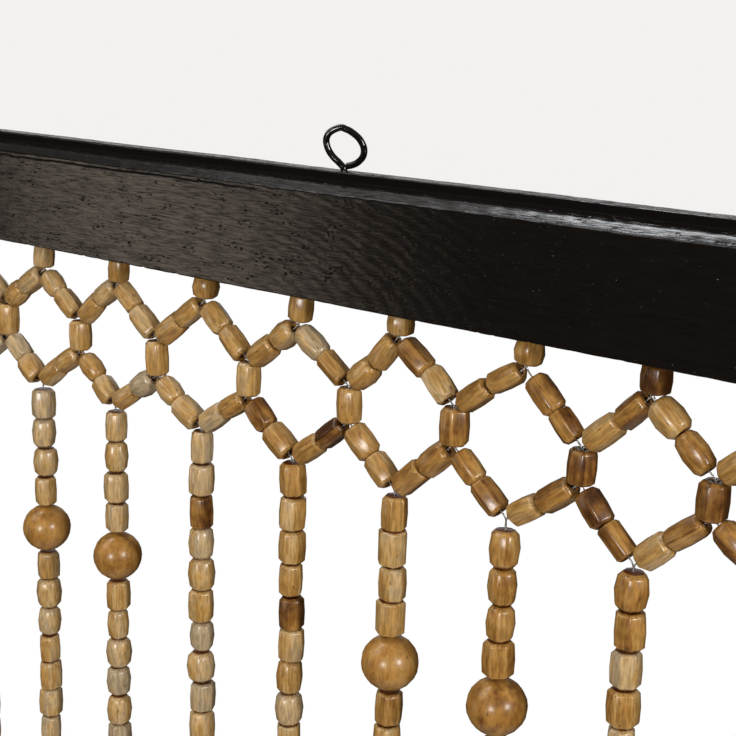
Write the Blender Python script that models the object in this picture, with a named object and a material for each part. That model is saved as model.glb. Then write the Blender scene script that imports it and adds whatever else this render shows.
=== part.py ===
"""A bead curtain: a painted wooden rail with two screw eyes, a net of beaded cells, and twenty bead strands.

Metres, +Z up. X runs along the rail and the front of the curtain faces -Y.
The origin is the centre of the rail's flat back face.
"""

import math

import bmesh
import bpy
from mathutils import Matrix, Vector

MM = 0.001

# Rail: a moulded bar with a narrow ridge along its top and a sloping shoulder on both sides of it
RAIL_LENGTH = 900 * MM
RAIL_THICKNESS = 14 * MM
RAIL_HEIGHT = 38.3 * MM
FACE_HEIGHT = 32.3 * MM
SHOULDER_HEIGHT = 35.5 * MM
RIDGE_THICKNESS = 6.4 * MM
RAIL_EDGE_BEVEL = 0.6 * MM
RAIL_BOTTOM = -FACE_HEIGHT / 2
RAIL_TOP = RAIL_BOTTOM + RAIL_HEIGHT
HANG_Y = -RAIL_THICKNESS / 2

# Clearance between pieces that touch
SEAT_GAP = 0.3 * MM

# Faces that meet at less than this are shaded as one round surface
SMOOTH_ANGLE = math.radians(48)

# Bead sizes: small faceted barrels, and round balls threaded between them
BEAD_STEP = 11.2 * MM
BAR_WIDTH = 8.2 * MM
BALL_DIAMETER = 18 * MM
BALL_STEP = 18.3 * MM

# Net: one row of six-sided cells. Drops are measured down from the rail's underside
STRANDS = 20
PITCH = 42 * MM
ROOT_DROP = 10.3 * MM
NODE_TOP_DROP = 26.3 * MM
NODE_BOTTOM_DROP = 37.4 * MM
STRAND_DROP = 54.4 * MM

# How far the cells near the left screw eye hang off the even spacing, in millimetres:
# strand number: (root sideways, root up, node bead to its right sideways, its top up, its bottom up,
# strand top sideways, strand top up)
UNEVEN_CELLS = {
    0: (0.0, 0.0, 0.1, 1.0, 0.5, 0.0, 0.6),
    1: (1.1, -0.4, 0.8, 1.2, 1.3, -0.9, 2.7),
    2: (0.3, 0.1, -0.4, 0.5, -0.4, -1.9, 1.4),
    3: (1.4, 0.2, 1.3, 0.5, 0.5, 0.2, 2.2),
    4: (1.7, -1.0, 2.1, 0.1, 0.4, 0.2, 0.5),
    5: (-0.2, 1.8, 0.2, 1.7, 1.6, 0.1, 0.1),
    6: (2.8, 0.3, 1.2, -1.4, -0.3, -1.4, 1.3),
    7: (0.2, 0.0, -1.4, -1.2, -0.3, -1.9, -1.3),
}
EVEN_CELL = (0.0,) * 7

# Strands: small beads above the first ball, between balls and below the last, for high and low strands
BALLS_PER_STRAND = 8
BEADS_BETWEEN_BALLS = 20
HIGH_START_BEADS, HIGH_END_BEADS = 4, 13
LOW_START_BEADS, LOW_END_BEADS = 14, 3

# Thread anchors: a short peg above each root bead, in a hole drilled into the rail's underside
ANCHOR_WIDTH = 1.6 * MM
ANCHOR_LENGTH = 10 * MM
ANCHOR_HOLE_DIAMETER = 3 * MM
ANCHOR_HOLE_SIDES = 6

# Screw eyes: bent wire, its shank in a hole drilled into the ridge
WIRE_DIAMETER = 2.1 * MM
EYE_OFFSET = 212 * MM
EYE_TURN = math.radians(30)
SHANK_LENGTH = 14 * MM
SHANK_HOLE_SIDES = 12
# The bent wire's centreline from the rail's top round to its free end: millimetres across and up from its foot
EYE_LOOP = (
    (0.0, 0.0),
    (-0.3, 0.9),
    (-1.5, 2.3),
    (-3.3, 4.0),
    (-4.8, 6.0),
    (-5.5, 8.4),
    (-5.0, 10.3),
    (-3.6, 11.6),
    (-1.2, 12.5),
    (1.8, 11.5),
    (4.2, 9.5),
    (5.6, 6.9),
    (5.4, 4.4),
    (3.9, 2.6),
    (2.0, 1.6),
)

COLOURS = {
    "black_paint": ((0.014, 0.012, 0.011, 1.0), 0.3, 0.0),
    "bead_wood": ((0.42, 0.24, 0.10, 1.0), 0.4, 0.0),
    "black_wire": ((0.01, 0.01, 0.01, 1.0), 0.25, 0.6),
}


def clear_scene():
    for obj in list(bpy.data.objects):
        bpy.data.objects.remove(obj)


def make_material(name):
    colour, roughness, metallic = COLOURS[name]
    material = bpy.data.materials.new(name)
    material.use_nodes = True
    shader = material.node_tree.nodes["Principled BSDF"]
    shader.inputs["Base Color"].default_value = colour
    shader.inputs["Roughness"].default_value = roughness
    shader.inputs["Metallic"].default_value = metallic
    return material


def add_object(name, mesh, material):
    obj = bpy.data.objects.new(name, mesh)
    mesh.materials.append(material)
    bpy.context.scene.collection.objects.link(obj)
    return obj


def mesh_from(bm, name):
    mesh = bpy.data.meshes.new(name)
    bm.to_mesh(mesh)
    bm.free()
    return mesh


# Rail


def rail_profile():
    """The rail's section as (y, z) corners, the same on both sides of its mid-plane."""
    half, ridge = RAIL_THICKNESS / 2, RIDGE_THICKNESS / 2
    side = [
        (half, 0.0),
        (half, FACE_HEIGHT),
        (ridge, SHOULDER_HEIGHT),
        (ridge, RAIL_HEIGHT),
    ]
    return side + [(-y, z) for y, z in reversed(side)]


def hole_cutter(name, places, radius, sides, low, high):
    """Upright prisms at (x, y) places from height low to high, as one cutter that is not part of the curtain."""
    bm = bmesh.new()
    for x, y in places:
        bmesh.ops.create_cone(
            bm,
            cap_ends=True,
            segments=sides,
            radius1=radius,
            radius2=radius,
            depth=high - low,
            matrix=Matrix.Translation((x, y, (high + low) / 2)),
        )
    cutter = bpy.data.objects.new(name, mesh_from(bm, name))
    bpy.context.scene.collection.objects.link(cutter)
    cutter.hide_render = True
    cutter.display_type = "WIRE"
    return cutter


def cut(obj, cutter):
    modifier = obj.modifiers.new(cutter.name, "BOOLEAN")
    modifier.operation = "DIFFERENCE"
    modifier.solver = "EXACT"
    modifier.object = cutter


def make_rail(material):
    bm = bmesh.new()
    corners = [
        bm.verts.new((-RAIL_LENGTH / 2, HANG_Y + y, RAIL_BOTTOM + z))
        for y, z in rail_profile()
    ]
    end = bm.faces.new(corners)
    swept = bmesh.ops.extrude_face_region(bm, geom=[end], use_keep_orig=True)["geom"]
    moved = [part for part in swept if isinstance(part, bmesh.types.BMVert)]
    bmesh.ops.translate(bm, verts=moved, vec=(RAIL_LENGTH, 0, 0))
    bmesh.ops.recalc_face_normals(bm, faces=bm.faces)
    bmesh.ops.bevel(
        bm,
        geom=list(bm.edges),
        offset=RAIL_EDGE_BEVEL,
        segments=1,
        profile=0.5,
        affect="EDGES",
        material=-1,
    )
    rail = add_object("rail", mesh_from(bm, "rail"), material)

    anchors = [(root_point(i).x, HANG_Y) for i in range(STRANDS)]
    anchor_top = RAIL_BOTTOM + ANCHOR_LENGTH + SEAT_GAP
    cut(
        rail,
        hole_cutter(
            "anchor_holes",
            anchors,
            ANCHOR_HOLE_DIAMETER / 2,
            ANCHOR_HOLE_SIDES,
            RAIL_BOTTOM - 1 * MM,
            anchor_top,
        ),
    )
    eyes = [(x, HANG_Y) for x in (-EYE_OFFSET, EYE_OFFSET)]
    cut(
        rail,
        hole_cutter(
            "shank_holes",
            eyes,
            WIRE_DIAMETER / 2 + SEAT_GAP + 0.05 * MM,
            SHANK_HOLE_SIDES,
            RAIL_TOP - SHANK_LENGTH - SEAT_GAP,
            RAIL_TOP + 1 * MM,
        ),
    )
    return rail


# Screw eyes


def smooth_route(points, steps):
    """Points on a smooth curve through the given ones, with this many steps between each pair."""
    ends = [points[0] * 2 - points[1], *points, points[-1] * 2 - points[-2]]
    route = []
    for before, a, b, after in zip(ends, ends[1:], ends[2:], ends[3:]):
        for step in range(steps):
            t = step / steps
            route.append(
                0.5
                * (
                    2 * a
                    + (b - before) * t
                    + (2 * before - 5 * a + 4 * b - after) * t**2
                    + (3 * a - before - 3 * b + after) * t**3
                )
            )
    return [*route, points[-1]]


def make_screw_eye(name, x, material):
    """Bent wire: a shank standing in the rail, then a loop turned about the shank, its free end stopping beside it."""
    across = Vector((math.cos(EYE_TURN), math.sin(EYE_TURN), 0))
    foot = Vector((x, HANG_Y, RAIL_TOP))
    loop = [foot + across * (u * MM) + Vector((0, 0, v * MM)) for u, v in EYE_LOOP]
    shank_end = foot - Vector((0, 0, SHANK_LENGTH))
    route = [shank_end, *smooth_route(loop, steps=3)]

    curve = bpy.data.curves.new(name, "CURVE")
    curve.dimensions = "3D"
    curve.bevel_depth = WIRE_DIAMETER / 2
    curve.bevel_resolution = 2
    curve.use_fill_caps = True
    spline = curve.splines.new("POLY")
    spline.points.add(len(route) - 1)
    for point, place in zip(spline.points, route):
        point.co = (*place, 1)
    curve.materials.append(material)
    eye = bpy.data.objects.new(name, curve)
    bpy.context.scene.collection.objects.link(eye)
    return eye


# Net and strands


def net_point(index, drop, sideways=0.0, up=0.0):
    """A place on the curtain's plane: strand index, which may be halfway between two, and drop below the rail."""
    x = (index - (STRANDS - 1) / 2) * PITCH + sideways * MM
    return Vector((x, HANG_Y, RAIL_BOTTOM - drop + up * MM))


def root_point(i):
    sideways, up = UNEVEN_CELLS.get(i, EVEN_CELL)[:2]
    return net_point(i, ROOT_DROP, sideways, up)


def node_points(i):
    """Both ends of the upright node bead to the right of strand i. Strand -1 is the one before the first."""
    sideways, top_up, bottom_up = UNEVEN_CELLS.get(i, EVEN_CELL)[2:5]
    top = net_point(i + 0.5, NODE_TOP_DROP, sideways, top_up)
    return top, net_point(i + 0.5, NODE_BOTTOM_DROP, sideways, bottom_up)


def strand_point(i):
    sideways, up = UNEVEN_CELLS.get(i, EVEN_CELL)[5:]
    return net_point(i, STRAND_DROP, sideways, up)


def net_bars():
    """Every straight run of the net as a pair of named joints, and the place of each joint."""
    places = {}
    bars = []
    for i in range(-1, STRANDS):
        places["node_top", i], places["node_bottom", i] = node_points(i)
        bars.append((("node_top", i), ("node_bottom", i)))
    for i in range(STRANDS):
        places["root", i] = root_point(i)
        places["rail_seat", i] = Vector((root_point(i).x, HANG_Y, RAIL_BOTTOM - SEAT_GAP))
        places["strand", i] = strand_point(i)
        places["strand_end", i] = strand_point(i) - Vector((0, 0, BAR_WIDTH))
        bars.append((("rail_seat", i), ("root", i)))
        bars.append((("strand", i), ("strand_end", i)))
        for side in (i - 1, i):
            bars.append((("root", i), ("node_top", side)))
            bars.append((("node_bottom", side), ("strand", i)))
    return places, bars


def joint_corners(place, arms):
    """The corners where neighbouring arms of a joint meet, keyed by the arm they follow round the joint."""
    towards = {name: (end - place).normalized() for name, end in arms.items()}
    if len(arms) == 1:
        (name, along), = towards.items()
        side = Vector((-along.z, 0, along.x)) * (BAR_WIDTH / 2)
        return {name: (place - side, place + side)}
    order = sorted(towards, key=lambda name: math.atan2(towards[name].z, towards[name].x))
    between = {}
    for name, following in zip(order, order[1:] + order[:1]):
        a, b = towards[name], towards[following]
        turn = (math.atan2(b.z, b.x) - math.atan2(a.z, a.x)) % (2 * math.pi)
        middle = math.atan2(a.z, a.x) + turn / 2
        reach = (BAR_WIDTH / 2) / math.sin(turn / 2)
        between[name] = place + Vector((math.cos(middle), 0, math.sin(middle))) * reach
    return {
        name: (between[before], between[name])
        for before, name in zip(order[-1:] + order[:-1], order)
    }


def add_net(bm):
    """The net as one flat network of faces, pushed back to the thickness of a bead."""
    places, bars = net_bars()
    arms = {name: {} for name in places}
    for a, b in bars:
        arms[a][b] = places[b]
        arms[b][a] = places[a]
    corners = {}
    made = {}
    front = Vector((0, -BAR_WIDTH / 2, 0))

    def vertex(place):
        key = tuple(round(c / (0.001 * MM)) for c in place)
        if key not in made:
            made[key] = bm.verts.new(place + front)
        return made[key]

    for name, place in places.items():
        corners[name] = {
            arm: tuple(vertex(p) for p in pair)
            for arm, pair in joint_corners(place, arms[name]).items()
        }
        if len(arms[name]) > 2:
            bm.faces.new([pair[0] for pair in corners[name].values()])
    for a, b in bars:
        right_a, left_a = corners[a][b]
        right_b, left_b = corners[b][a]
        bm.faces.new((right_a, left_a, right_b, left_b))
    pushed = bmesh.ops.extrude_face_region(bm, geom=list(bm.faces), use_keep_orig=True)
    moved = [part for part in pushed["geom"] if isinstance(part, bmesh.types.BMVert)]
    bmesh.ops.translate(bm, verts=moved, vec=(0, BAR_WIDTH, 0))
    bmesh.ops.recalc_face_normals(bm, faces=bm.faces)


def add_anchors(bm):
    """The peg above each root bead, raised from the bead's top face."""
    top = RAIL_BOTTOM - SEAT_GAP
    seats = [f for f in bm.faces if f.normal.z > 0.9 and abs(f.calc_center_median().z - top) < 0.1 * MM]
    for seat in seats:
        inset = (BAR_WIDTH - ANCHOR_WIDTH) / 2
        bmesh.ops.inset_individual(bm, faces=[seat], thickness=inset, use_even_offset=True)
        raised = bmesh.ops.extrude_discrete_faces(bm, faces=[seat])["faces"]
        bmesh.ops.translate(bm, verts=raised[0].verts, vec=(0, 0, ANCHOR_LENGTH))


def ball_rings(centre_height):
    """A ball's outline from above to below as (height, radius across corners, sides)."""
    radius = BALL_DIAMETER / 2
    belt = 0.51 * radius
    belt_radius = math.sqrt(radius**2 - belt**2) / math.cos(math.pi / 8) * 1.03
    neck = math.sqrt(radius**2 - (BAR_WIDTH / 2) ** 2)
    square = BAR_WIDTH / math.sqrt(2)
    return [
        (centre_height + neck, square, 4),
        (centre_height + belt, belt_radius, 8),
        (centre_height - belt, belt_radius, 8),
        (centre_height - neck, square, 4),
    ]


def strand_rings(i):
    """Strand i's outline from its first ball down to its end, as (height, radius across corners, sides)."""
    high = i % 4 in (1, 2)
    start, end = (HIGH_START_BEADS, HIGH_END_BEADS) if high else (LOW_START_BEADS, LOW_END_BEADS)
    height = strand_point(i).z - start * BEAD_STEP
    rings = []
    for ball in range(BALLS_PER_STRAND):
        rings += ball_rings(height - BALL_STEP / 2)
        below = BEADS_BETWEEN_BALLS if ball < BALLS_PER_STRAND - 1 else end
        height -= BALL_STEP + below * BEAD_STEP
    rings.append((height, BAR_WIDTH / math.sqrt(2), 4))
    return rings


def add_strand(bm, i):
    """Strand i, carried on from the net's stub: rings of corners joined one to the next, then closed."""
    top = strand_point(i)
    stub_z = top.z - BAR_WIDTH
    stub = next(
        f for f in bm.faces
        if f.normal.z < -0.9 and (f.calc_center_median() - Vector((top.x, HANG_Y, stub_z))).length < 0.1 * MM
    )
    loop = list(stub.edges)
    bmesh.ops.delete(bm, geom=[stub], context="FACES_ONLY")
    for height, radius, sides in strand_rings(i):
        place = Matrix.Translation((top.x, HANG_Y, height)) @ Matrix.Rotation(math.pi / sides, 4, "Z")
        ring = bmesh.ops.create_circle(bm, cap_ends=False, segments=sides, radius=radius, matrix=place)
        ring_edges = list({edge for vert in ring["verts"] for edge in vert.link_edges})
        bmesh.ops.bridge_loops(bm, edges=loop + ring_edges)
        loop = ring_edges
    bmesh.ops.contextual_create(bm, geom=loop)


def make_bead_curtain(material):
    bm = bmesh.new()
    add_net(bm)
    add_anchors(bm)
    for i in range(STRANDS):
        add_strand(bm, i)
    bmesh.ops.recalc_face_normals(bm, faces=bm.faces)
    mesh = mesh_from(bm, "bead_curtain")
    mesh.shade_smooth()
    mesh.set_sharp_from_angle(angle=SMOOTH_ANGLE)
    return add_object("bead_curtain", mesh, material)


def main():
    clear_scene()
    materials = {name: make_material(name) for name in COLOURS}
    make_rail(materials["black_paint"])
    make_screw_eye("eye_left", -EYE_OFFSET, materials["black_wire"])
    make_screw_eye("eye_right", EYE_OFFSET, materials["black_wire"])
    make_bead_curtain(materials["bead_wood"])


main()
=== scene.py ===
"""Dresses the bead curtain: its painted rail and screw eyes, every bead, and the clear nylon between them.

Metres, +Z up. X runs along the rail, the front of the curtain faces -Y, and the origin is the middle of the
rail's back.
"""

from __future__ import annotations

import logging
import math
import random
from collections.abc import Iterable, Sequence
from dataclasses import dataclass, field
from enum import Enum

import bmesh
import bpy
from mathutils import Matrix, Vector, noise

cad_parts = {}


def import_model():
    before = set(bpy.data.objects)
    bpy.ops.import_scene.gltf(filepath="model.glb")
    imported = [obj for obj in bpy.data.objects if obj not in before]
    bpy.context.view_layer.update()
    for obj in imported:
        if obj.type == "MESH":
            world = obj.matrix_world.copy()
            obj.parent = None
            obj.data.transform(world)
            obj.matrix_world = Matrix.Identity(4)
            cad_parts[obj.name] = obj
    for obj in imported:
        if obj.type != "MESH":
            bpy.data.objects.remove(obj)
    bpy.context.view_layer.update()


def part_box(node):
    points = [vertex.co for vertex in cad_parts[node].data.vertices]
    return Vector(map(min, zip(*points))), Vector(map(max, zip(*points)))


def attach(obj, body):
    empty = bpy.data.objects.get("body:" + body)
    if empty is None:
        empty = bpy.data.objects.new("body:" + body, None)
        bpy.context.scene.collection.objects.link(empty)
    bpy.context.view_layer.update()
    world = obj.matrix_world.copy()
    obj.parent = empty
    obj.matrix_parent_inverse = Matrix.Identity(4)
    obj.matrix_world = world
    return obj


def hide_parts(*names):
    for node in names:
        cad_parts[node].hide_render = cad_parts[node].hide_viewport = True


MM = 0.001
BODY = "root"
NOISE_SEED = 7
STRANDS_PER_PIECE = 5
Pair = tuple[float, float]
Triple = tuple[float, float, float]
Colour = Triple

log = logging.getLogger("bead_curtain")


# Shader graphs


class Signal:
    """An output socket of a shader graph, with arithmetic that adds Math nodes."""

    def __init__(self, graph: Graph, socket: bpy.types.NodeSocket) -> None:
        """Keeps the socket and the graph that it belongs to."""
        self.graph = graph
        self.socket = socket

    def _maths(self, operation: str, first: Signal | float, second: Signal | float) -> Signal:
        """Returns the result of one Math node."""
        return self.graph.node("ShaderNodeMath", {"operation": operation}, {0: first, 1: second})

    def __add__(self, other: Signal | float) -> Signal:
        """Returns the sum."""
        return self._maths("ADD", self, other)

    def __sub__(self, other: Signal | float) -> Signal:
        """Returns the difference."""
        return self._maths("SUBTRACT", self, other)

    def __rsub__(self, other: float) -> Signal:
        """Returns a number less this signal."""
        return self._maths("SUBTRACT", other, self)

    def __mul__(self, other: Signal | float) -> Signal:
        """Returns the product."""
        return self._maths("MULTIPLY", self, other)

    __radd__ = __add__
    __rmul__ = __mul__


class Graph:
    """The node tree of a material or world, emptied and built up by calls."""

    def __init__(self, owner: bpy.types.Material | bpy.types.World) -> None:
        """Empties the owner's node tree.

        Args:
            owner: the material or world to build.
        """
        owner.use_nodes = True
        self.tree = owner.node_tree
        self.tree.nodes.clear()

    def node(
        self,
        kind: str,
        settings: dict[str, object] | None = None,
        sockets: dict[int | str, object] | None = None,
        output: int | str = 0,
    ) -> Signal:
        """Adds a node, sets it up and links it.

        Args:
            kind: the node's type name.
            settings: its own properties, with a ramp's stops under "stops".
            sockets: values or signals for its inputs, by name or number.
            output: which of its outputs to return.

        Returns:
            The chosen output.
        """
        made = self.tree.nodes.new(kind)
        for name, value in (settings or {}).items():
            if name == "stops":
                self._set_stops(made.color_ramp, value)
            else:
                setattr(made, name, value)
        for key, value in (sockets or {}).items():
            if isinstance(value, Signal):
                self.tree.links.new(value.socket, made.inputs[key])
            else:
                made.inputs[key].default_value = value
        return Signal(self, made.outputs[output]) if made.outputs else Signal(self, None)

    @staticmethod
    def _set_stops(ramp: bpy.types.ColorRamp, stops: Sequence[tuple[float, Colour]]) -> None:
        """Gives a colour ramp these stops."""
        while len(ramp.elements) < len(stops):
            ramp.elements.new(1.0)
        for element, (place, colour) in zip(ramp.elements, stops):
            element.position = place
            element.color = (*colour, 1.0)

    def place(self) -> Signal:
        """Returns the object coordinates."""
        return self.node("ShaderNodeTexCoord", output="Object")

    def attribute(self, name: str, output: str) -> Signal:
        """Returns a named attribute of the mesh."""
        return self.node("ShaderNodeAttribute", {"attribute_name": name}, output=output)

    def along(self, vector: Signal, axis: str) -> Signal:
        """Returns a vector's part along X, Y or Z."""
        return self.node("ShaderNodeSeparateXYZ", None, {0: vector}, output=axis)

    def stretched(self, vector: Signal, scale: Triple) -> Signal:
        """Returns a vector scaled along its three axes."""
        return self.node("ShaderNodeMapping", None, {"Vector": vector, "Scale": scale})

    def noise(
        self, vector: Signal, scale: float = 1.0, detail: float = 3.0, roughness: float = 0.5
    ) -> Signal:
        """Returns a noise value between 0 and 1."""
        sockets = {"Vector": vector, "Scale": scale, "Detail": detail, "Roughness": roughness}
        return self.node("ShaderNodeTexNoise", None, sockets)

    def spots(self, vector: Signal, scale: float, reach: float) -> Signal:
        """Returns round spots, 1 at their middle and 0 from their reach outwards, one in each cell."""
        sockets = {"Vector": vector, "Scale": scale}
        distance = self.node("ShaderNodeTexVoronoi", None, sockets, output="Distance")
        return self.span(distance, reach, 0.0)

    def span(self, value: Signal, low: float, high: float) -> Signal:
        """Returns how far a value has gone from low to high, held between 0 and 1."""
        sockets = {"Value": value, "From Min": low, "From Max": high}
        return self.node("ShaderNodeMapRange", {"interpolation_type": "SMOOTHSTEP"}, sockets)

    def mix(self, factor: Signal | float, first: Signal | Colour, second: Signal | Colour) -> Signal:
        """Returns a colour between two others."""
        return self._blend("MIX", factor, first, second)

    def multiply(self, colour: Signal, other: Signal | Colour) -> Signal:
        """Returns a colour multiplied by another."""
        return self._blend("MULTIPLY", 1.0, colour, other)

    def _blend(
        self, how: str, factor: Signal | float, first: Signal | Colour, second: Signal | Colour
    ) -> Signal:
        """Returns the result of one Mix node on colours."""
        ends = [c if isinstance(c, Signal) else (*c, 1.0) for c in (first, second)]
        settings = {"data_type": "RGBA", "blend_type": how}
        return self.node("ShaderNodeMix", settings, {0: factor, 6: ends[0], 7: ends[1]}, output=2)

    def grey(self, value: Signal) -> Signal:
        """Returns a number as a colour."""
        return self.node("ShaderNodeCombineColor", None, {0: value, 1: value, 2: value})

    def bump(self, height: Signal, depth: float) -> Signal:
        """Returns a normal bent by a height, whose 0 to 1 is this depth in metres."""
        return self.node("ShaderNodeBump", None, {"Height": height, "Distance": depth, "Strength": 1.0})

    def surface(
        self,
        sockets: dict[int | str, object],
        pits: dict[int | str, object] | None = None,
        where: Signal | None = None,
    ) -> None:
        """Ends the graph in a Principled shader.

        Args:
            sockets: the shader's inputs.
            pits: the inputs of a second shader, let into it.
            where: how much of that one shows.
        """
        shader = self.node("ShaderNodeBsdfPrincipled", None, sockets)
        if pits:
            pit = self.node("ShaderNodeBsdfPrincipled", None, pits)
            shader = self.node("ShaderNodeMixShader", None, {0: where, 1: shader, 2: pit})
        self.node("ShaderNodeOutputMaterial", None, {"Surface": shader})


def new_graph(name: str) -> tuple[bpy.types.Material, Graph]:
    """Returns a new material and its empty graph."""
    material = bpy.data.materials.new(name)
    return material, Graph(material)


# Finishes


@dataclass(frozen=True)
class BlackPaint:
    """Gloss black paint brushed over open-pored wood, with its grain, pores and dust nibs showing through.

    A mark is given by its length and width along the grain, and a share is one of the relief's depth.
    """

    colour: Colour = (0.0046, 0.0034, 0.0028)
    worn: Colour = (0.013, 0.010, 0.0085)
    fibre: Pair = (5.5 * MM, 0.42 * MM)
    hair: Pair = (6.0 * MM, 0.24 * MM)
    brush: Pair = (10.0 * MM, 1.9 * MM)
    pore: Pair = (2.4 * MM, 0.75 * MM)
    nib_spacing: float = 2.2 * MM
    patches: Pair = (0.50, 0.62)
    depth: float = 0.16 * MM
    fibre_share: float = 0.28
    brush_share: float = 0.45
    arch_share: float = 0.12
    pore_share: float = 0.4
    nib_share: float = 1.2
    sunk: Triple = (0.38, 0.34, 0.16)
    figure_spacing: float = 0.45
    figure_start: float = -0.29
    crack_start: float = -0.47
    crack_height: float = 0.0
    # Painted shade: the heights between which the ridge's front is made dull and black.
    ridge_shade_band: Pair = (0.0, 0.0)

    def material(self) -> bpy.types.Material:
        """Returns the paint as a material."""
        material, graph = new_graph("black_paint")
        place = graph.place()
        fibres = graph.noise(self._in_marks(graph, place, self.fibre), detail=4.0, roughness=0.6)
        hairs = graph.noise(self._in_marks(graph, place, self.hair), detail=2.0)
        brush = graph.noise(self._in_marks(graph, place, self.brush), detail=2.0)
        grid = self._in_marks(graph, place, self.pore)
        pores = graph.spots(grid, 1.0, 0.46) * graph.span(graph.noise(grid, 0.35), *self.patches)
        nibs = graph.spots(place, 1 / self.nib_spacing, 0.15)
        nibs = nibs * graph.span(graph.noise(place, 210.0, 1.0), *self.patches)
        crack = self._crack(graph, place)
        height = fibres * self.fibre_share + brush * self.brush_share
        height = height + self._arches(graph, place) * self.arch_share
        height = height - pores * self.pore_share + nibs * self.nib_share - crack
        streak = graph.span(fibres + brush * 0.7 - 0.85, -0.16, 0.22)
        # The pores and the crack are dull paint; the ridge band is painted shade.
        dull = pores * 0.7 + crack * 0.8 + self._painted_ridge_shade(graph, place)
        graph.surface(
            {
                "Base Color": graph.mix(streak * 0.4 + nibs * 0.8, self.colour, self.worn),
                "Roughness": brush * 0.07 + 0.04,
                "Normal": graph.bump(height, self.depth),
            },
            {"Base Color": (*self.colour, 1.0), "Roughness": 0.8, "Specular IOR Level": 0.08},
            dull + self._streaks(graph, fibres, hairs, brush),
        )
        return material

    def _streaks(self, graph: Graph, fibres: Signal, hairs: Signal, brush: Signal) -> Signal:
        """Returns how dull the paint is where it sank into the grain."""
        over_fibre, over_hair, over_brush = self.sunk
        sunk = graph.span(fibres, 0.42, 0.60) * over_fibre + graph.span(hairs, 0.42, 0.62) * over_hair
        return sunk + graph.span(brush, 0.45, 0.7) * over_brush

    def _painted_ridge_shade(self, graph: Graph, place: Signal) -> Signal:
        """Returns where the paint is made dull and black, on the front of the ridge and into the corner at
        its foot: painted shade.
        """
        z = graph.along(place, "Z")
        low, high = self.ridge_shade_band
        return graph.span(z, low, low + 0.2 * MM) * graph.span(z, high, high - 0.4 * MM) * 0.9

    @staticmethod
    def _in_marks(graph: Graph, place: Signal, size: Pair) -> Signal:
        """Returns coordinates in which a mark this long and wide along the grain is one across."""
        return graph.stretched(place, (1 / size[0], 1 / size[1], 1 / size[1]))

    def _past(self, graph: Graph, place: Signal, start: float) -> Signal:
        """Returns how far past the last start a place is along the rail."""
        wrap = {0: graph.along(place, "X") - start, 1: self.figure_spacing, 2: 0.0}
        return graph.node("ShaderNodeMath", {"operation": "WRAP"}, wrap)

    def _arches(self, graph: Graph, place: Signal) -> Signal:
        """Returns the arched figure of flat-sawn wood, in a patch from each start along the rail."""
        past = self._past(graph, place, self.figure_start)
        rise = (graph.along(place, "Z") + 0.024) * 200.0 + graph.noise(place, 60.0)
        laid = graph.node("ShaderNodeCombineXYZ", None, {0: past * 70.0, 1: rise})
        waves = {"wave_type": "RINGS", "rings_direction": "Z"}
        rings = graph.node("ShaderNodeTexWave", waves, {0: laid, "Scale": 0.7}, output=1)
        return rings * graph.span(past, 0.03, 0.06) * (1 - graph.span(past, 0.12, 0.16))

    def _crack(self, graph: Graph, place: Signal) -> Signal:
        """Returns a fine open line of grain near the top of the face, in a length from each start."""
        waver = graph.noise(self._in_marks(graph, place, (9.0 * MM, 9.0 * MM)), detail=2.0)
        aside = graph.along(place, "Z") - self.crack_height + (waver - 0.5) * 1.2 * MM
        distance = graph.node("ShaderNodeMath", {"operation": "ABSOLUTE"}, {0: aside})
        past = self._past(graph, place, self.crack_start)
        return graph.span(distance, 0.42 * MM, 0.10 * MM) * (1 - graph.span(past, 0.21, 0.24))


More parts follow.
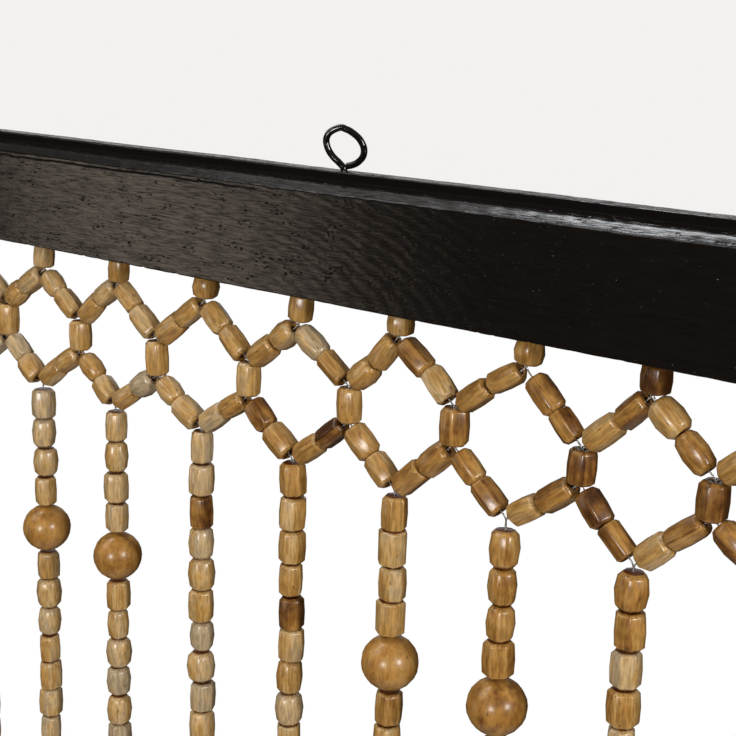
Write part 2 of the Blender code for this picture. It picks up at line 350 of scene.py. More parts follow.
@dataclass(frozen=True)
class BeadWood:
    """Varnished wood of the beads: a shade for each bead, a shift for each facet, and grain along it."""

    name: str = "bead_wood"
    stops: tuple[tuple[float, Colour], ...] = (
        (0.00, (0.070, 0.024, 0.005)),
        (0.15, (0.19, 0.076, 0.015)),
        (0.36, (0.41, 0.20, 0.043)),
        (0.60, (0.54, 0.31, 0.095)),
        (0.80, (0.63, 0.425, 0.20)),
        (1.00, (0.50, 0.375, 0.225)),
    )
    fibre: float = 1.3
    grain: float = 0.40
    blotch: float = 0.55
    facet_shift: float = 0.24
    line: float = 0.34
    # Painted shade: what the bore and the bead ends are multiplied by, for the shade in the hole and the
    # seams between beads, with darker end grain.
    end_grain_and_hole_shade: Colour = (0.34, 0.16, 0.10)
    fleck: Colour = (0.06, 0.026, 0.010)
    roughness: float = 0.36
    coat: float = 0.55
    relief: float = 0.14 * MM

    def material(self) -> bpy.types.Material:
        """Returns the wood as a material."""
        material, graph = new_graph(self.name)
        local = graph.attribute("bead_place", "Vector")
        lengthwise = (self.fibre, self.fibre, self.fibre * 0.15)
        fibres = graph.noise(graph.stretched(local, lengthwise), detail=4.0)
        bands = graph.noise(graph.stretched(local, (0.42, 0.42, 0.08)), detail=2.0)
        blotches = graph.noise(local, 0.26)
        flecks = graph.noise(graph.stretched(local, (1.2, 1.2, 0.35)), detail=1.0)
        flecks = graph.span(flecks, 0.70, 0.78)
        # The facet attribute holds a random tone for each facet, and the chamfers' painted highlight.
        shade = graph.attribute("tone", "Fac") + (graph.attribute("facet", "Fac") - 0.5) * self.facet_shift
        shade = shade + (bands - 0.5) * self.grain + (blotches - 0.5) * self.blotch
        wood = graph.node("ShaderNodeValToRGB", {"stops": self.stops}, {0: shade})
        light = graph.span(fibres, 0.38, 0.60) * self.line + (1 - self.line)
        lined = graph.multiply(wood, graph.grey(light))
        # Painted shade: the rim attribute darkens the bore and the bead ends, for shade in the hole and the
        # seams; the ends also stand for darker end grain.
        shaded = graph.mix(graph.attribute("rim", "Fac"), lined, graph.multiply(lined, self.end_grain_and_hole_shade))
        graph.surface(
            {
                "Base Color": graph.mix(flecks * 0.7, shaded, self.fleck),
                "Roughness": self.roughness + (fibres - 0.5) * 0.25,
                "Coat Weight": self.coat,
                "Coat Roughness": 0.2,
                "Specular IOR Level": 0.3,
                "Normal": graph.bump(fibres * 0.6 + blotches * 0.8 - flecks * 0.5, self.relief),
            }
        )
        return material


@dataclass(frozen=True)
class ClearNylon:
    """Clear nylon thread."""

    colour: Colour = (0.86, 0.83, 0.80)

    def material(self) -> bpy.types.Material:
        """Returns the nylon as a material."""
        material, graph = new_graph("clear_nylon")
        cloud = graph.noise(graph.place(), 2500.0, 2.0)
        graph.surface(
            {
                "Base Color": graph.mix(cloud, self.colour, (0.97, 0.96, 0.95)),
                "Roughness": cloud * 0.12 + 0.06,
                "Transmission Weight": 0.75,
                "IOR": 1.53,
            }
        )
        return material


@dataclass(frozen=True)
class LacqueredWire:
    """Black lacquer on steel wire."""

    colour: Colour = (0.0018, 0.0018, 0.0018)

    def material(self) -> bpy.types.Material:
        """Returns the lacquer as a material."""
        material, graph = new_graph("black_wire")
        ripple = graph.noise(graph.place(), 420.0, 2.0)
        graph.surface(
            {
                "Base Color": graph.mix(ripple, self.colour, (0.006, 0.0055, 0.005)),
                "Roughness": ripple * 0.12 + 0.05,
                "Normal": graph.bump(ripple, 0.10 * MM),
            }
        )
        return material


@dataclass(frozen=True)
class PaleFloor:
    """A plain pale floor."""

    colour: Colour = (0.80, 0.79, 0.78)

    def material(self) -> bpy.types.Material:
        """Returns the floor as a material."""
        material, graph = new_graph("pale_floor")
        graph.surface({"Base Color": (*self.colour, 1.0), "Roughness": 0.8})
        return material


# Mesh helpers


def new_object(name: str, data: bpy.types.ID) -> bpy.types.Object:
    """Returns a new object in the scene, at the origin."""
    made = bpy.data.objects.new(name, data)
    bpy.context.scene.collection.objects.link(made)
    return made


def add_piece(
    name: str, mesh: bpy.types.Mesh, material: bpy.types.Material
) -> bpy.types.Object:
    """Makes a mesh a piece of the curtain.

    Args:
        name: the piece's name.
        mesh: its mesh, in place.
        material: its finish.

    Returns:
        The piece's object.
    """
    mesh.materials.clear()
    mesh.materials.append(material)
    piece = new_object(name, mesh)
    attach(piece, BODY)
    triangles = sum(len(p.vertices) - 2 for p in mesh.polygons)
    log.info("%s: %d faces, %d triangles", name, len(mesh.polygons), triangles)
    return piece


def mesh_from(bm: bmesh.types.BMesh, name: str) -> bpy.types.Mesh:
    """Returns a bmesh as a smooth-shaded mesh, and frees it."""
    mesh = bpy.data.meshes.new(name)
    bm.to_mesh(mesh)
    bm.free()
    mesh.shade_smooth()
    return mesh


def even_shading(piece: bpy.types.Object) -> None:
    """Shades a piece's flats flat, with the turn between them kept to its rounded edges."""
    even = piece.modifiers.new("even_facets", "WEIGHTED_NORMAL")
    even.weight = 60
    even.keep_sharp = True


def wire_mesh(name: str, routes: Iterable[Sequence[Vector]], radius: float, sides: int) -> bpy.types.Mesh:
    """Round wires or threads as one mesh.

    Args:
        name: the mesh's name.
        routes: the points that each wire follows.
        radius: the wires' radius.
        sides: how many sides a wire has, a multiple of 4.

    Returns:
        The mesh, with its ends closed.
    """
    curve = bpy.data.curves.new(name, "CURVE")
    curve.dimensions = "3D"
    curve.bevel_depth = radius
    curve.bevel_resolution = sides // 4
    curve.use_fill_caps = True
    for route in routes:
        spline = curve.splines.new("POLY")
        spline.points.add(len(route) - 1)
        for point, place in zip(spline.points, route):
            point.co = (*place, 1.0)
    carrier = new_object(name, curve)
    evaluated = carrier.evaluated_get(bpy.context.evaluated_depsgraph_get())
    mesh = bpy.data.meshes.new_from_object(evaluated)
    bpy.data.objects.remove(carrier)
    mesh.shade_smooth()
    return mesh


def smooth_route(points: Sequence[Vector], steps: int) -> list[Vector]:
    """Returns points on a smooth curve through the given ones, with this many steps between each pair."""
    ends = [points[0] * 2 - points[1], *points, points[-1] * 2 - points[-2]]
    route = []
    for before, a, b, after in zip(ends, ends[1:], ends[2:], ends[3:]):
        for step in range(steps):
            t = step / steps
            linear = (b - before) * t
            square = (2 * before - 5 * a + 4 * b - after) * t**2
            cube = (3 * a - before - 3 * b + after) * t**3
            route.append(0.5 * (2 * a + linear + square + cube))
    return [*route, points[-1]]


# Rail


@dataclass
class Rail:
    """The painted wooden bar with its sloping shoulders and the narrow ridge along its top."""

    face_height: float = 32.3 * MM
    shoulder_height: float = 35.5 * MM
    face_bevel: float = 0.3 * MM
    shoulder_rise: float = 0.56
    ridge_thickness: float = 6.4 * MM
    undercut: float = 0.9 * MM
    rounding: float = 0.5 * MM
    end_rounding: float = 0.6 * MM
    steps: int = 900
    raggedness: float = 0.10 * MM
    nick: float = 1.2
    sag: float = 0.35 * MM
    low: Vector = field(default_factory=lambda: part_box("rail")[0])
    high: Vector = field(default_factory=lambda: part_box("rail")[1])

    def profile(self) -> list[Pair]:
        """Returns the front half of the section, from the underside up to the top, as (forward, up)."""
        half = (self.high.y - self.low.y) / 2
        ridge = self.ridge_thickness / 2
        rise = self.shoulder_height - self.face_height
        return [
            (half, -self.sag),
            (half, self.face_height - self.face_bevel),
            ((half + ridge) / 2, self.face_height + self.shoulder_rise * rise),
            (ridge - self.undercut, self.shoulder_height),
            (ridge, self.high.z - self.low.z),
        ]

    def build(self) -> bpy.types.Mesh:
        """Returns the bar's mesh."""
        bm = bmesh.new()
        middle = (self.high.y + self.low.y) / 2
        front = self.profile()
        section = [(-y, z) for y, z in front] + [(y, z) for y, z in reversed(front)]
        ring = [bm.verts.new((self.low.x, middle + y, self.low.z + z)) for y, z in section]
        bm.faces.new(ring)
        rounded = {"segments": 3, "profile": 0.5, "affect": "VERTICES", "material": -1}
        bmesh.ops.bevel(bm, geom=ring, offset=self.rounding, **rounded)
        end = bm.faces[:][0]
        swept = bmesh.ops.extrude_face_region(bm, geom=[end], use_keep_orig=True)["geom"]
        moved = [part for part in swept if isinstance(part, bmesh.types.BMVert)]
        length = self.high.x - self.low.x
        bmesh.ops.translate(bm, verts=moved, vec=(length, 0, 0))
        caps = [f for f in bm.faces if len(f.verts) > 4]
        bmesh.ops.recalc_face_normals(bm, faces=bm.faces)
        rims = [e for e in bm.edges if any(f in caps for f in e.link_faces)]
        rounded = {"segments": 2, "profile": 0.5, "affect": "EDGES", "material": -1}
        bmesh.ops.bevel(bm, geom=rims, offset=self.end_rounding, **rounded)
        long_edges = [e for e in bm.edges if e.calc_length() > length / 2]
        bmesh.ops.subdivide_edges(bm, edges=long_edges, cuts=self.steps, use_grid_fill=True)
        for vert in bm.verts:
            vert.co += self._unevenness(vert.co)
        return mesh_from(bm, "rail_bar")

    def _unevenness(self, place: Vector) -> Vector:
        """Returns how far the brushed paint and the worn edges stray at a place."""
        ripple = noise.noise_vector(Vector((place.x * 260, place.y * 90, place.z * 90)))
        sway = noise.noise_vector(Vector((place.x * 28, place.y * 20, place.z * 20 + 7)))
        moved = ripple * self.raggedness + sway * (1.6 * self.raggedness)
        if place.z < self.low.z + 1 * MM:
            wear = max(0.0, noise.noise(Vector((place.x * 420, 3.0, 0.0))) - 0.32)
            moved.z += wear * self.nick * MM
        return Vector((0.0, 0.15 * moved.y, moved.z))

    def dress(self) -> None:
        """Adds the bar to the scene."""
        # Painted shade: the ridge's front, from the corner at its foot to near its top, is made dull and
        # black.
        ridge_shade_band = (self.low.z + self.shoulder_height - 0.3 * MM, self.high.z - 0.4 * MM)
        paint = BlackPaint(crack_height=self.low.z + self.face_height - 1.6 * MM, ridge_shade_band=ridge_shade_band)
        piece = add_piece("rail_bar", self.build(), paint.material())
        even_shading(piece)
        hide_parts("rail")


# Screw eyes


@dataclass
class ScrewEye:
    """An open eye of bent wire, standing on its shank in the rail's ridge.

    The loop is the eye's centreline in millimetres, as (across, up, behind) from the shank's top.
    """

    node: str
    offset: float = 212 * MM
    wire: float = 2.0 * MM
    turn: float = math.radians(30)
    shank: float = 14.0 * MM
    loop: tuple[Triple, ...] = (
        (0.0, 0.0, 0.0),
        (-0.2, 0.9, 0.0),
        (-1.5, 2.3, 0.0),
        (-3.35, 3.95, 0.0),
        (-4.8, 6.0, 0.0),
        (-5.5, 8.4, 0.0),
        (-5.0, 10.3, 0.0),
        (-3.6, 11.6, 0.0),
        (-1.3, 12.5, 0.1),
        (0.2, 12.1, 0.15),
        (1.8, 11.4, 0.2),
        (4.2, 9.5, 0.35),
        (5.6, 6.9, 0.6),
        (5.4, 4.4, 0.95),
        (3.9, 2.6, 1.35),
        (2.2, 1.65, 1.7),
        (0.4, 1.2, 1.95),
    )

    def route(self) -> list[Vector]:
        """Returns the points of the wire's centreline, from the shank's end to the eye's free end."""
        rail_low, rail_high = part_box("rail")
        side = math.copysign(self.offset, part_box(self.node)[0].x)
        foot = Vector((side, (rail_low.y + rail_high.y) / 2, rail_high.z))
        across = Vector((math.cos(self.turn), math.sin(self.turn), 0))
        behind = Vector((-across.y, across.x, 0))
        bend = [foot + (across * u + Vector((0, 0, v)) + behind * w) * MM for u, v, w in self.loop]
        return [foot - Vector((0, 0, self.shank)), *smooth_route(bend, steps=8)]

    def dress(self, finish: bpy.types.Material) -> None:
        """Adds the eye to the scene, in this finish."""
        mesh = wire_mesh(f"{self.node}_wire", [self.route()], self.wire / 2, sides=20)
        piece = add_piece(f"{self.node}_wire", mesh, finish)
        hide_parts(self.node)


# Beads


class BeadKind(Enum):
    """The ways a bead is cut."""

    FACETED = "faceted"
    ROUNDED = "rounded"
    STRAIGHT = "straight"
    BALL = "ball"


@dataclass(frozen=True)
class BeadCut:
    """How one kind of bead is shaped, on a bead one across and one long.

    Its corners are pinched together in pairs, so every other facet is narrow. The rings are its sections'
    heights and reaches from the bottom up, and the bore is its hole's reach inside and at the rim.
    """

    kind: BeadKind
    sides: int
    pinch: float
    rings: tuple[Pair, ...]
    waver: float
    bore: Pair = (0.24, 0.27)
    bore_depth: float = 0.2
    sectors: int = 12
    # Painted highlight: how much lighter the chamfers are made, for the glint along the facets' edges.
    chamfer_highlight: float = 0.2

    def template(self, rng: random.Random, bored: bool, number: int) -> bpy.types.Mesh:
        """Builds one bead lying along Z.

        Args:
            rng: where its irregularity comes from.
            bored: whether its ends are open at the thread's hole.
            number: its number among its kind.

        Returns:
            The bead's mesh, with its own attributes.
        """
        bm = bmesh.new()
        rim = bmesh.ops.create_circle(bm, segments=self.sides, radius=0.5)["verts"]
        for n, vert in enumerate(rim):
            swing = (1 if n % 2 else -1) * self.pinch * math.pi / self.sides
            swing += rng.uniform(-1, 1) * self.waver
            bmesh.ops.rotate(bm, verts=[vert], cent=(0, 0, 0), matrix=Matrix.Rotation(swing, 3, "Z"))
            vert.co *= rng.uniform(1 - self.waver, 1.0)
        edges = list(bm.edges)
        verts, last = rim, 1.0
        for level, (height, reach) in enumerate(self._all_rings(bored)):
            if level:
                grown = bmesh.ops.extrude_edge_only(bm, edges=edges)["geom"]
                verts = [part for part in grown if isinstance(part, bmesh.types.BMVert)]
                edges = [part for part in grown if isinstance(part, bmesh.types.BMEdge)]
            rise = height - verts[0].co.z
            lean = rng.uniform(-1, 1) * self.waver * 0.06
            bmesh.ops.scale(bm, verts=verts, vec=(reach / last, reach / last, 1))
            bmesh.ops.translate(bm, verts=verts, vec=(lean, 0, rise))
            last = reach
        bmesh.ops.holes_fill(bm, edges=[e for e in bm.edges if e.is_boundary])
        bmesh.ops.recalc_face_normals(bm, faces=bm.faces)
        self._mark(bm, rng, 0.12 if bored else 0.15)
        return mesh_from(bm, f"{self.kind.value}_{number}")

    def _all_rings(self, bored: bool) -> list[Pair]:
        """Returns the bead's rings from the bottom up, with those of its bore where it is open."""
        if not bored:
            return list(self.rings)
        bottom, top = self.rings[0][0], self.rings[-1][0]
        inside, rim = self.bore
        lower = [(bottom + self.bore_depth, inside), (bottom, rim)]
        return [*lower, *self.rings, (top, rim), (top - self.bore_depth, inside)]

    def _mark(self, bm: bmesh.types.BMesh, rng: random.Random, end_shade: float) -> None:
        """Gives each facet a shift of tone, each chamfer a lighter one as painted highlight, and the ends
        and bore a dark one: painted shade in the hole and the seams, and end grain on the ends.

        Args:
            bm: the bead.
            rng: where the shifts come from.
            end_shade: how dark the ends are.
        """
        facet = bm.faces.layers.float.new("facet")
        rim = bm.faces.layers.float.new("rim")
        shifts = [rng.random() for _ in range(self.sectors)]
        for face in bm.faces:
            middle = face.calc_center_median()
            turned = math.atan2(middle.y, middle.x) / (2 * math.pi) + 0.5
            slope = abs(face.normal.z)
            # Painted highlight: the chamfers between the facets and the ends are made lighter.
            shift = self.chamfer_highlight if 0.3 < slope < 0.9 else 0.0
            face[facet] = shifts[int(turned * (self.sectors - 0.01))] + shift
            # Painted shade: faces near the axis (the bore, and the whole end of an unbored bead) are
            # darkened fully, the rest of an end face partly.
            inside = Vector((middle.x, middle.y, 0)).length < 0.16
            face[rim] = 1.0 if inside else (end_shade if slope > 0.9 else 0.0)


CUTS = (
    BeadCut(
        kind=BeadKind.FACETED,
        sides=12,
        pinch=0.58,
        rings=((-0.5, 0.7), (-0.4, 0.95), (0.0, 1.0), (0.4, 0.94), (0.5, 0.72)),
        waver=0.06,
    ),
    BeadCut(
        kind=BeadKind.ROUNDED,
        sides=10,
        pinch=0.2,
        rings=((-0.5, 0.62), (-0.37, 0.9), (0.0, 1.02), (0.37, 0.9), (0.5, 0.62)),
        waver=0.05,
    ),
    BeadCut(
        kind=BeadKind.STRAIGHT,
        sides=12,
        pinch=0.6,
        rings=((-0.5, 0.76), (-0.43, 0.95), (0.43, 0.97), (0.5, 0.8)),
        waver=0.07,
    ),
)


@dataclass(frozen=True)
class Bead:
    """One bead in its place."""

    low: Vector
    high: Vector
    width: float
    tone: float
    kind: BeadKind

    def matrix(self, rng: random.Random) -> Matrix:
        """Returns what takes a template to this bead's place, with a turn about its own axis."""
        axis = self.high - self.low
        upright = axis.to_track_quat("Z", "Y").to_matrix().to_4x4()
        spin = Matrix.Rotation(rng.uniform(0, 2 * math.pi), 4, "Z")
        size = Matrix.Diagonal((self.width * rng.uniform(0.93, 1.0), self.width, axis.length, 1.0))
        return Matrix.Translation((self.low + self.high) / 2) @ upright @ spin @ size


class BeadTray:
    """Templates of every cut of bead, copied into joined meshes."""

    ball_variants = 3
    ball_segments = (18, 12)
    ball_dent = 0.012

    def __init__(self, seed: int, bored: bool, variants: int = 5) -> None:
        """Builds the templates.

        Args:
            seed: where the irregularities start.
            bored: whether the beads' ends are open.
            variants: how many of each cut there are.
        """
        self.rng = random.Random(seed)
        self.templates = {
            cut.kind: [cut.template(self.rng, bored, n) for n in range(variants)] for cut in CUTS
        }
        self.templates[BeadKind.BALL] = [self._ball(n) for n in range(self.ball_variants)]

    def _ball(self, number: int) -> bpy.types.Mesh:
        """Returns a round bead that is a little uneven."""
        bm = bmesh.new()
        around, along = self.ball_segments
        bmesh.ops.create_uvsphere(bm, u_segments=around, v_segments=along, radius=0.5)
        for vert in bm.verts:
            vert.co *= 1 + self.ball_dent * noise.noise(vert.co * 3 + Vector((number * 5, 0, 0)))
        facet = bm.faces.layers.float.new("facet")
        rim = bm.faces.layers.float.new("rim")
        for face in bm.faces:
            face[facet] = 0.5
            face[rim] = 0.0
        return mesh_from(bm, f"ball_{number}")

    def join(self, beads: Iterable[Bead], name: str) -> bpy.types.Mesh:
        """Copies a template into place for each bead.

        Args:
            beads: the beads to make.
            name: the joined mesh's name.

        Returns:
            One mesh, with each bead's shade and its own coordinates as attributes.
        """
        bm = bmesh.new()
        for bead in beads:
            template = self.rng.choice(self.templates[bead.kind])
            copy = template.copy()
            self._label(copy, bead)
            copy.transform(bead.matrix(self.rng))
            bm.from_mesh(copy)
            bpy.data.meshes.remove(copy)
        return mesh_from(bm, name)

    def _label(self, mesh: bpy.types.Mesh, bead: Bead) -> None:
        """Writes a bead's shade, and its coordinates in millimetres from a random start, into a copy."""
        start = Vector([self.rng.uniform(0, 400) for _ in range(3)])
        size = Vector((bead.width, bead.width, (bead.high - bead.low).length)) / MM
        local = mesh.attributes.new("bead_place", "FLOAT_VECTOR", "POINT")
        places = [v.co * size + start for v in mesh.vertices]
        local.data.foreach_set("vector", [c for place in places for c in place])
        tone = mesh.attributes.new("tone", "FLOAT", "POINT")
        tone.data.foreach_set("value", [bead.tone] * len(mesh.vertices))

    def clear(self) -> None:
        """Removes the templates."""
        for meshes in self.templates.values():
            for mesh in meshes:
                bpy.data.meshes.remove(mesh)


# Curtain


@dataclass
class Curtain:
    """The net of beaded cells and the strands below it.

    Drops are measured down from the rail's underside. Waver and kink are in millimetres.
    """

    strands: int = 20
    pitch: float = 42 * MM
    root_drop: float = 9.5 * MM
    node_top_drop: float = 26.3 * MM
    node_bottom_drop: float = 37.4 * MM
    strand_drop: float = 54.4 * MM
    bead_length: float = 11.0 * MM
    bead_step: float = 11.2 * MM
    strand_width: float = 9.5 * MM
    node_width: float = 9.3 * MM
    slanted_width: float = 8.6 * MM
    root_gap: float = 1.1 * MM
    upper_gaps: Pair = (1.9 * MM, 2.7 * MM)
    lower_gaps: Pair = (2.6 * MM, 2.4 * MM)
    slack: dict[tuple[int, int], float] = field(
        default_factory=lambda: {(5, 5): 0.4 * MM, (6, 6): 1.6 * MM}
    )
    seam: float = 0.15 * MM
    ball_diameter: float = 17.8 * MM
    ball_height: float = 17.4 * MM
    ball_step: float = 18.3 * MM
    balls_per_strand: int = 8
    beads_between_balls: int = 20
    high_ends: tuple[int, int] = (4, 13)
    low_ends: tuple[int, int] = (14, 3)
    thread: float = 0.5 * MM
    thread_tail: float = 4 * MM
    seed: int = 7
    dark_share: float = 0.07
    pale_share: float = 0.17
    dark_tones: Pair = (0.08, 0.26)
    plain_tones: Pair = (0.38, 0.65)
    pale_tones: Pair = (0.76, 0.92)
    ball_tones: Pair = (0.27, 0.38)
    # Painted shade: the wave below makes the beads darker from left to right across the part in view.
    shade_wave_start: float = -0.36
    shade_wave_length: float = 0.56
    shade_wave_depth: float = 0.18
    tone_offset: float = -0.04
    strand_shift: float = 0.12
    cut_weights: tuple[int, int, int] = (14, 5, 1)
    waver: float = 0.3
    kink: float = 0.6
    uneven_cells: dict[int, tuple[float, ...]] = field(
        default_factory=lambda: {
            0: (0.0, 0.0, 0.1, 1.0, 0.5, 0.0, 0.6, 0.6),
            1: (1.1, -0.4, 0.8, 1.2, 1.3, -0.9, 2.7, 2.5),
            2: (0.3, 0.1, -0.4, 0.5, -0.4, -1.9, 1.4, 1.6),
            3: (1.4, 0.2, 1.3, 0.5, 0.5, 0.2, 2.2, 0.8),
            4: (1.7, -1.0, 2.1, 0.1, 0.4, 0.2, 0.5, 0.7),
            5: (-0.2, 1.8, 0.2, 1.7, 1.6, 0.1, 0.1, 1.0),
            6: (2.8, 0.3, 1.2, -1.4, -0.3, -1.4, 1.3, 3.0),
            7: (0.2, 0.0, -1.4, -1.2, -0.3, -1.9, -1.3, 1.3),
        }
    )

    def __post_init__(self) -> None:
        """Takes the plane that the curtain hangs in, and the height it hangs from, from the frame."""
        rail_low, rail_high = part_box("rail")
        self.plane = (rail_low.y + rail_high.y) / 2
        self.underside = rail_low.z
        self.rng = random.Random(self.seed)

    def spot(self, index: float, drop: float, sideways: float = 0.0, up: float = 0.0) -> Vector:
        """Returns a place on the curtain's plane, by strand number and drop below the rail."""
        x = (index - (self.strands - 1) / 2) * self.pitch + sideways * MM
        return Vector((x, self.plane, self.underside - drop + up * MM))

    def _cell(self, i: int) -> tuple[float, ...]:
        """Returns how far the cell at a strand strays from the even spacing, in millimetres.

        Args:
            i: the strand's number.

        Returns:
            The root's sideways and up, the node's sideways, top up and bottom up, the strand top's
            sideways and up, and the bare thread above the strand's first bead.
        """
        return self.uneven_cells.get(i, (0.0,) * 8)

    def root(self, i: int) -> Vector:
        """Returns the joint under strand i's rail bead."""
        sideways, up = self._cell(i)[:2]
        return self.spot(i, self.root_drop, sideways, up)

    def node(self, i: int) -> tuple[Vector, Vector]:
        """Returns the top and the bottom of the upright bead to the right of strand i."""
        sideways, top_up, bottom_up = self._cell(i)[2:5]
        top = self.spot(i + 0.5, self.node_top_drop, sideways, top_up)
        return top, self.spot(i + 0.5, self.node_bottom_drop, sideways, bottom_up)

    def strand_top(self, i: int) -> Vector:
        """Returns the joint above strand i."""
        sideways, up = self._cell(i)[5:7]
        return self.spot(i, self.strand_drop, sideways, up)

    def _tone(self, place: Vector) -> float:
        """Returns the shade of a bead at a place, from 0, dark brown, to 1, grey."""
        draw = self.rng.random()
        if draw < self.dark_share:
            return self.rng.uniform(*self.dark_tones)
        # Painted shade: a slow wave of tone along the rail, lightest at its start, darkens the beads from
        # left to right in view, as the light falls off; the offset shifts every tone a little.
        turns = (place.x - self.shade_wave_start) / self.shade_wave_length
        shade_and_tone_drift = self.shade_wave_depth * math.cos(turns * 2 * math.pi) + self.tone_offset
        if place.z < self.underside - self.strand_drop:
            shade_and_tone_drift += self.strand_shift
        if draw < self.dark_share + self.pale_share:
            return self.rng.uniform(*self.pale_tones) + 1.2 * shade_and_tone_drift
        return self.rng.uniform(*self.plain_tones) + shade_and_tone_drift

    def _kind(self) -> BeadKind:
        """Returns how a bead is cut."""
        return self.rng.choices([cut.kind for cut in CUTS], self.cut_weights)[0]

    def _bead(self, top: Vector, bottom: Vector, width: float) -> Bead:
        """Returns a bead between two places, a little off its true size and line."""
        below, above = (
            Vector([self.rng.uniform(-self.waver, self.waver) * MM for _ in range(3)]) for _ in range(2)
        )
        width *= self.rng.uniform(0.90, 1.05)
        return Bead(bottom + below, top + above, width, self._tone(top), self._kind())

    def _chain(self, start: Vector, end: Vector, gaps: Pair) -> list[Bead]:
        """Returns the two slanted beads from a joint down to the next, kinked a little where they meet.

        Args:
            start: the joint above.
            end: the joint below.
            gaps: how far the beads keep from the joints.
        """
        along = (end - start).normalized()
        first, last = start + along * gaps[0], end - along * gaps[1]
        aside = Vector((-along.z, 0, along.x)) * self.rng.uniform(-self.kink, self.kink) * MM
        middle = first.lerp(last, self.rng.uniform(0.47, 0.53)) + aside
        middle.y += self.rng.uniform(-0.4, 0.4) * MM
        seam = along * self.seam / 2
        width = self.slanted_width * self.rng.uniform(0.92, 1.06)
        return [self._bead(first, middle - seam, width), self._bead(middle + seam, last, width)]

    def net_beads(self) -> list[Bead]:
        """Returns every bead of the net."""
        beads = [self._bead(*self.node(i), self.node_width) for i in range(-1, self.strands)]
        for i in range(self.strands):
            root = self.root(i)
            high = Vector((root.x + 1.1 * MM, self.plane, self.underside - 0.65 * MM))
            low = root + Vector((0.6 * MM, 0, self.root_gap))
            beads.append(self._bead(high, low, self.node_width))
            for side in (i - 1, i):
                node_top, node_bottom = self.node(side)
                slack = self.slack.get((i, side), 0.0)
                beads += self._chain(root, node_top, (self.upper_gaps[0] + slack, self.upper_gaps[1]))
                beads += self._chain(node_bottom, self.strand_top(i), self.lower_gaps)
        return beads

    def strand_beads(self, i: int) -> tuple[list[Bead], list[Bead]]:
        """Returns strand i's tube beads and its ball beads."""
        start, end = self.high_ends if i % 4 in (1, 2) else self.low_ends
        runs = [start] + [self.beads_between_balls] * (self.balls_per_strand - 1) + [end]
        top = self.strand_top(i)
        height = top.z - self._cell(i)[7] * MM
        tubes, balls = [], []
        for number, run in enumerate(runs):
            for _ in range(run):
                high = Vector((top.x, top.y, height - (self.bead_step - self.bead_length)))
                low = Vector((top.x, top.y, height - self.bead_step))
                tubes.append(self._bead(high, low, self.strand_width))
                height -= self.bead_step
            if number < self.balls_per_strand:
                middle = Vector((top.x, top.y, height - self.ball_step / 2))
                reach = Vector((0, 0, self.ball_height / 2))
                tone = self.rng.uniform(*self.ball_tones)
                diameter = self.ball_diameter * self.rng.uniform(0.98, 1.02)
                balls.append(Bead(middle - reach, middle + reach, diameter, tone, BeadKind.BALL))
                height -= self.ball_step
        return tubes, balls

    def threads(self) -> list[list[Vector]]:
        """Returns the routes of the nylon: through each joint of the net, and down each strand."""
        routes = []
        tail = Vector((0, 0, self.thread_tail))
        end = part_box("bead_curtain")[0].z + 1.5 * MM
        for i in range(self.strands):
            root, top = self.root(i), self.strand_top(i)
            for side in (i - 1, i):
                node_top, node_bottom = self.node(side)
                routes += [
                    self._turn_through(root + tail, root, node_top),
                    self._turn_through(node_bottom, top, top - tail),
                    self._turn_through(root, node_top, node_top - tail),
                    self._turn_through(node_bottom + tail, node_bottom, top),
                ]
            routes.append([top, Vector((top.x, top.y, end))])
        return routes

    def _turn_through(self, start: Vector, joint: Vector, end: Vector) -> list[Vector]:
        """Returns a short thread that comes out of one bead, rounds a joint and goes into the next."""
        aside = Vector((0, self.rng.uniform(-0.15, 0.15) * MM, 0))
        inwards = (start - joint).normalized()
        outwards = (end - joint).normalized()
        return smooth_route(
            [
                joint + inwards * 3.4 * MM,
                joint + inwards * 1.4 * MM + aside,
                joint + (inwards + outwards) * 0.35 * MM + aside,
                joint + outwards * 1.6 * MM + aside,
                joint + outwards * 3.6 * MM,
            ],
            steps=3,
        )

    def dress(self) -> None:
        """Adds the beads and threads to the scene."""
        wood = BeadWood().material()
        ball_wood = BeadWood("ball_wood", fibre=0.9, grain=0.45, line=0.2, coat=0.3, relief=0.02 * MM)
        net_tray = BeadTray(self.seed, bored=True)
        pieces = [add_piece("net_beads", net_tray.join(self.net_beads(), "net_beads"), wood)]
        net_tray.clear()
        tray = BeadTray(self.seed + 1, bored=False)
        balls = []
        for first in range(0, self.strands, STRANDS_PER_PIECE):
            tubes = []
            for i in range(first, first + STRANDS_PER_PIECE):
                strand_tubes, strand_balls = self.strand_beads(i)
                tubes += strand_tubes
                balls += strand_balls
            name = f"strand_beads_{first // STRANDS_PER_PIECE + 1}"
            pieces.append(add_piece(name, tray.join(tubes, name), wood))
        ball_mesh = tray.join(balls, "ball_beads")
        pieces.append(add_piece("ball_beads", ball_mesh, ball_wood.material()))
        tray.clear()
        threads = wire_mesh("nylon_threads", self.threads(), self.thread / 2, sides=4)
        pieces.append(add_piece("nylon_threads", threads, ClearNylon().material()))
        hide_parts("bead_curtain")
        for piece in pieces[:-2]:
            even_shading(piece)


# Studio


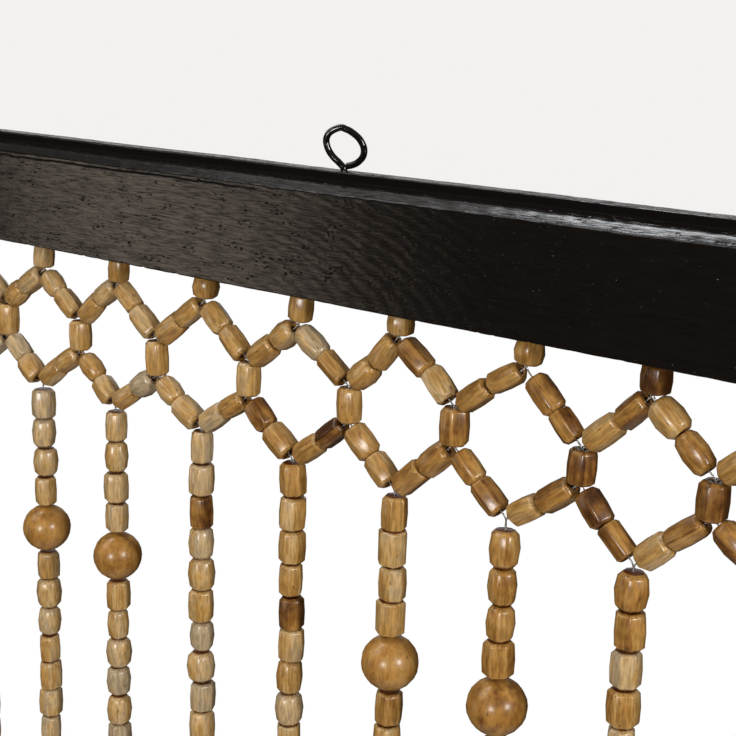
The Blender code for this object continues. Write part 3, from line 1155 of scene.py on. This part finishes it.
@dataclass(frozen=True)
class SoftBox:
    """A rectangular studio light, some way from the point that it is aimed at."""

    name: str
    way: Triple
    distance: float
    width: float
    height: float
    radiance: float
    colour: Colour = (1.0, 1.0, 1.0)
    roll: float = 0.0

    def add(self, aim: Vector) -> None:
        """Adds the light, aimed at a point."""
        light = bpy.data.lights.new(self.name, "AREA")
        light.shape = "RECTANGLE"
        light.size = self.width
        light.size_y = self.height
        light.energy = self.radiance * math.pi * self.width * self.height
        light.color = self.colour
        place = aim + Vector(self.way).normalized() * self.distance
        turn = (aim - place).to_track_quat("-Z", "Y").to_matrix().to_4x4()
        roll = Matrix.Rotation(math.radians(self.roll), 4, "Z")
        new_object(self.name, light).matrix_world = Matrix.Translation(place) @ turn @ roll


SOFT_BOXES = (
    SoftBox("front_box", (0.28, -0.95, 0.14), 1.6, 0.38, 0.38, 30.0, (1.0, 0.98, 0.95)),
    SoftBox("side_box", (0.95, -0.16, 0.28), 1.6, 0.36, 0.36, 35.0, (1.0, 0.98, 0.95)),
    SoftBox("upper_box", (-0.53, -0.55, 0.64), 1.7, 0.8, 0.8, 2.6),
    SoftBox("overhead_box", (-0.385, 0.11, 0.915), 1.6, 1.3, 0.24, 13.0, (0.95, 0.97, 1.0)),
    SoftBox("ceiling_panel", (-0.63, 0.08, 0.77), 1.6, 1.3, 0.40, 0.85, (1.0, 0.95, 0.90)),
    SoftBox("low_panel", (-0.757, -0.646, -0.104), 2.0, 0.465, 0.78, 1.95, (1.0, 0.83, 0.68), 8.0),
    SoftBox("back_strip", (-0.60, 0.79, 0.15), 2.0, 1.6, 0.26, 0.9, (0.96, 0.98, 1.0)),
)


@dataclass
class Studio:
    """The camera at the photograph's view, soft lights, a white surround and a pale floor."""

    eye: Vector = field(default_factory=lambda: Vector((83.3, -337.5, 68.8)) * MM)
    pan: float = math.radians(40.68)
    pitch: float = math.radians(13.42)
    roll: float = math.radians(1.50)
    lens: float = 73.9
    sensor: float = 36.0
    seen: Vector = field(default_factory=lambda: Vector((-0.25, -0.01, -0.03)))
    floor_gap: float = 30 * MM
    floor_radius: float = 1.5
    white: Colour = (1.0, 1.0, 1.0)
    wall_grey: Colour = (0.896, 0.880, 0.871)
    room_front: Colour = (0.05, 0.045, 0.04)
    room_back: Colour = (0.05, 0.035, 0.02)
    room_top: Colour = (0.20, 0.195, 0.19)

    def add_camera(self) -> None:
        """Adds the camera."""
        data = bpy.data.cameras.new("camera")
        data.lens = self.lens
        data.sensor_width = self.sensor
        data.clip_start = 10 * MM
        camera = new_object("camera", data)
        aim = Matrix.Rotation(self.pan, 4, "Z") @ Matrix.Rotation(math.pi / 2 - self.pitch, 4, "X")
        camera.matrix_world = Matrix.Translation(self.eye) @ aim @ Matrix.Rotation(self.roll, 4, "Z")
        bpy.context.scene.camera = camera

    def add_surround(self) -> None:
        """Makes the surround white to the camera and dim to the curtain, lighter above it."""
        world = bpy.data.worlds.new("surround")
        bpy.context.scene.world = world
        graph = Graph(world)
        way = graph.node("ShaderNodeTexCoord", output="Generated")
        upwards, backwards = graph.along(way, "Z"), graph.along(way, "Y")
        backdrop = graph.mix(graph.span(upwards, -0.16, -0.12), self.white, self.wall_grey)
        room = graph.mix(graph.span(backwards, -0.1, 0.4), self.room_front, self.room_back)
        room = graph.mix(graph.span(upwards, 0.3, 0.6), room, self.room_top)
        seen = graph.node("ShaderNodeLightPath", output="Is Camera Ray")
        colour = graph.mix(seen, room, backdrop)
        light = graph.node("ShaderNodeBackground", None, {"Color": colour, "Strength": 1.0})
        graph.node("ShaderNodeOutputWorld", None, {"Surface": light})
        bpy.context.scene.view_settings.view_transform = "Standard"

    def add_floor(self) -> None:
        """Adds the floor under the strands."""
        bm = bmesh.new()
        bmesh.ops.create_circle(bm, cap_ends=True, segments=64, radius=self.floor_radius)
        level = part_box("bead_curtain")[0].z - self.floor_gap
        bmesh.ops.translate(bm, verts=bm.verts, vec=(0, 0, level))
        mesh = mesh_from(bm, "floor")
        mesh.materials.append(PaleFloor().material())
        new_object("floor", mesh)

    def set_up(self) -> None:
        """Adds all of the studio, with its lights aimed at the part of the curtain in view."""
        self.add_camera()
        for box in SOFT_BOXES:
            box.add(self.seen)
        self.add_surround()
        self.add_floor()


def main() -> None:
    """Builds the dressed curtain."""
    logging.basicConfig(level=logging.INFO, format="%(name)s: %(message)s")
    noise.seed_set(NOISE_SEED)  # otherwise Blender seeds noise_vector from the clock
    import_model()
    Rail().dress()
    wire = LacqueredWire().material()
    for node in ("eye_left", "eye_right"):
        ScrewEye(node).dress(wire)
    Curtain().dress()
    Studio().set_up()


if __name__ == "__main__":
    main()
